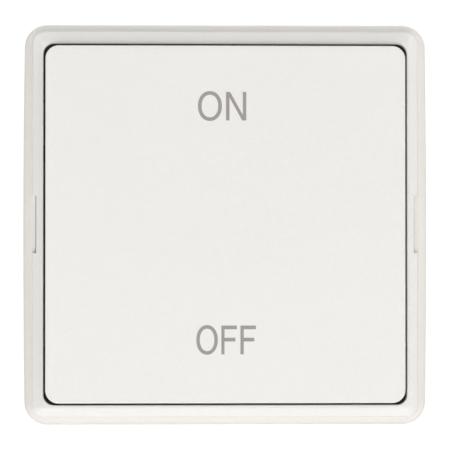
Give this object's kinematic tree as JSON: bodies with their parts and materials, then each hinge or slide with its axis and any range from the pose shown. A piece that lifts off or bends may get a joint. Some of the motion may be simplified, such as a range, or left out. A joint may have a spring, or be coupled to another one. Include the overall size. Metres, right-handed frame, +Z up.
{
  "type": "wireless wall switch",
  "caption": "Square wireless wall transmitter with a large on and off rocker key, a sloping bezel, a coin cell inside and a wall plate for screws or adhesive.",
  "frame": {"origin": "middle of the wall plate's back face, which lies on the wall", "axes": "+Z up the wall with the ON end of the key at the top, +Y into the wall, the key faces -Y"},
  "size_m": [0.0802, 0.016, 0.0794],
  "materials": {
    "white_plastic": "fine satin moulding",
    "key_plastic": "fine spark eroded grain",
    "plate_plastic": "plain moulding",
    "black_plastic": "plain moulding",
    "natural_plastic": "natural acetal",
    "foam": "closed cell foam with a paper liner",
    "spring_steel": "bright stainless",
    "cell_steel": "nickel plated",
    "contact_bronze": "nickel washed bronze",
    "board_laminate": "green solder mask",
    "chip_resin": "moulded epoxy",
    "tinned_metal": "tinned",
    "copper_wire": "enamelled copper",
    "ceramic": "fired ceramic",
    "zinc_steel": "bright zinc"
  },
  "bodies": {
    "housing": {"wall_plate": "plate_plastic", "adhesive_pads": "foam", "outer_casing": "white_plastic", "bezel": "white_plastic", "switch_carrier": "black_plastic", "on_spring": "spring_steel", "off_spring": "spring_steel", "on_dome": "spring_steel", "off_dome": "spring_steel", "battery_cover": "plate_plastic", "coin_cell": "cell_steel", "cell_holder": "black_plastic", "cell_contact_positive": "contact_bronze", "cell_contact_negative": "contact_bronze", "circuit_board": "board_laminate", "transmitter_chip": "chip_resin", "chip_leads": "tinned_metal", "crystal": "tinned_metal", "antenna_coil": "copper_wire", "chip_capacitors": "ceramic", "chip_resistors": "chip_resin", "carrier_screws": "zinc_steel"},
    "key": {"rocker": "key_plastic"},
    "on_button": {"on_plunger": "natural_plastic"},
    "off_button": {"off_plunger": "natural_plastic"}
  },
  "joints": [
    {"name": "rocker_tilt", "type": "hinge", "parent": "housing", "child": "key", "pos_m": [0, -0.0124, 0], "axis": [-1, 0, 0], "range_deg": [-1.5, 1.5], "stiffness_Nm_per_rad": 1.2},
    {"name": "on_plunger_slide", "type": "slide", "parent": "housing", "child": "on_button", "axis": [0, 1, 0], "range_m": [-0.0006, 0.0006], "deforming": ["on_spring", "on_dome"]},
    {"name": "off_plunger_slide", "type": "slide", "parent": "housing", "child": "off_button", "axis": [0, 1, 0], "range_m": [-0.0006, 0.0006], "deforming": ["off_spring", "off_dome"]}
  ],
  "couplings": [
    {"joint": "on_plunger_slide", "follows": "rocker_tilt", "m_per_rad": 0.022},
    {"joint": "off_plunger_slide", "follows": "rocker_tilt", "m_per_rad": -0.022}
  ]
}
